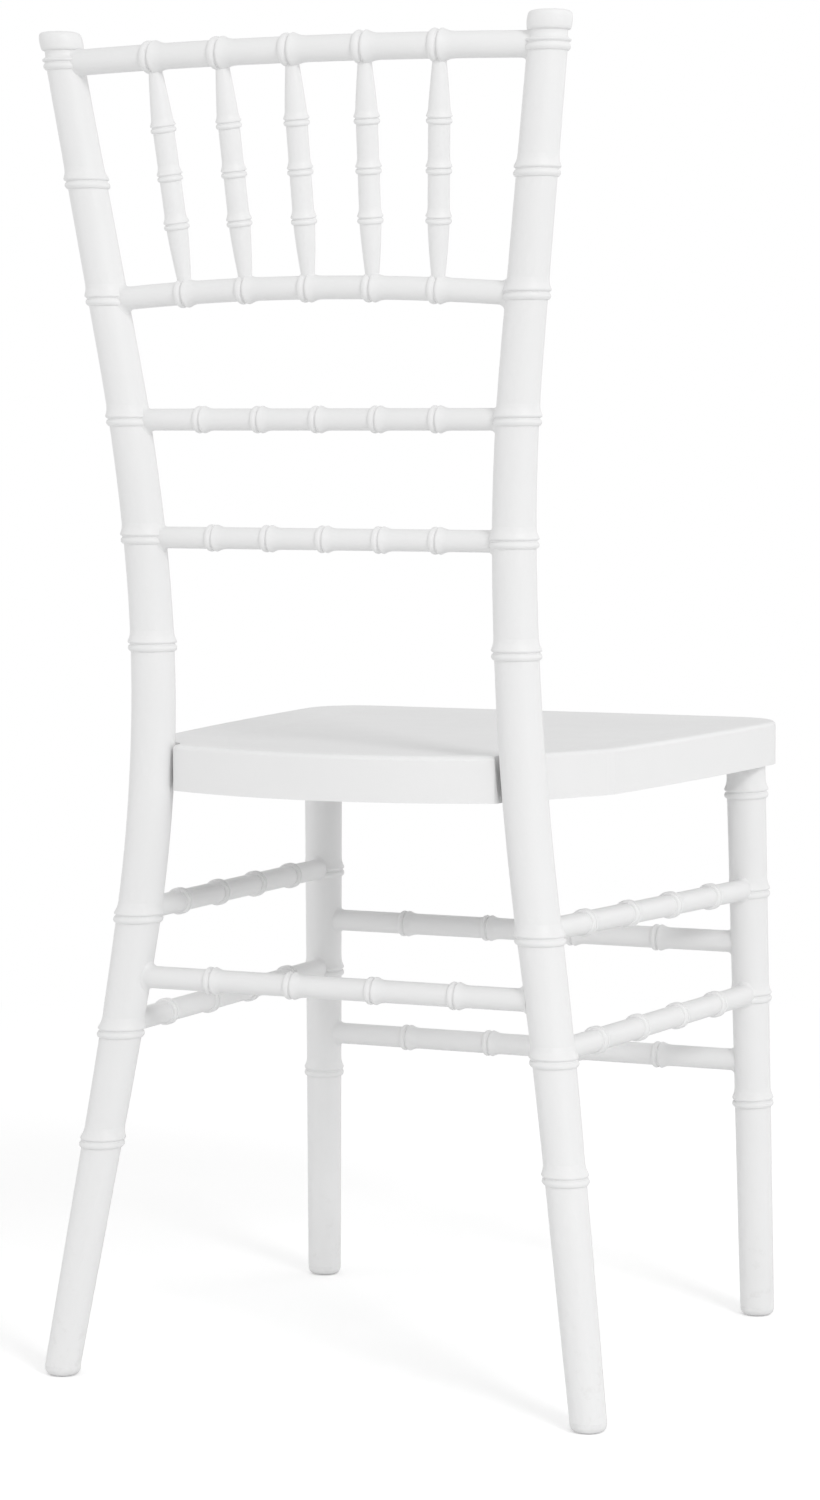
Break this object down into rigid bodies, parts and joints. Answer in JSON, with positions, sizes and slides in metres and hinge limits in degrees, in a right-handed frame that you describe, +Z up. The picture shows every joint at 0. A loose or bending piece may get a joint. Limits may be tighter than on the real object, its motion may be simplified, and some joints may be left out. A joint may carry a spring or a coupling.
{
  "type": "chiavari chair",
  "caption": "Slender armless chair with bamboo-ring members, a five-spindle ladder back, paired stretchers and a flat moulded seat, for seating guests at a table.",
  "frame": {"origin": "on the floor, under the middle of the chair's overall length and width", "axes": "+Z up, +X to the sitter's left, -Y the way the sitter faces, +Y out of the back of the chair"},
  "size_m": [0.4196, 0.4655, 0.9231],
  "materials": {
    "resin": "smooth white moulded resin, satin",
    "glide": "white floor glide, matt",
    "steel": "plain drawn rod",
    "bolt_steel": "zinc plated",
    "brass": "plain"
  },
  "bodies": {
    "root": {"rear_post_left": "resin", "rear_post_right": "resin", "front_leg_left": "resin", "front_leg_right": "resin", "crest_rail": "resin", "spindle_rail": "resin", "ladder_rail_upper": "resin", "ladder_rail_lower": "resin", "spindle_1": "resin", "spindle_2": "resin", "spindle_3": "resin", "spindle_4": "resin", "spindle_5": "resin", "seat": "resin", "rear_stretcher": "resin", "front_stretcher_upper": "resin", "front_stretcher_lower": "resin", "side_stretcher_left_upper": "resin", "side_stretcher_left_lower": "resin", "side_stretcher_right_upper": "resin", "side_stretcher_right_lower": "resin", "foot_glide_rear_left": "glide", "foot_glide_rear_right": "glide", "foot_glide_front_left": "glide", "foot_glide_front_right": "glide", "steel_core_post_left": "steel", "steel_core_post_right": "steel", "steel_core_leg_left": "steel", "steel_core_leg_right": "steel", "seat_bolts": "bolt_steel", "threaded_inserts": "brass"}
  },
  "joints": []
}
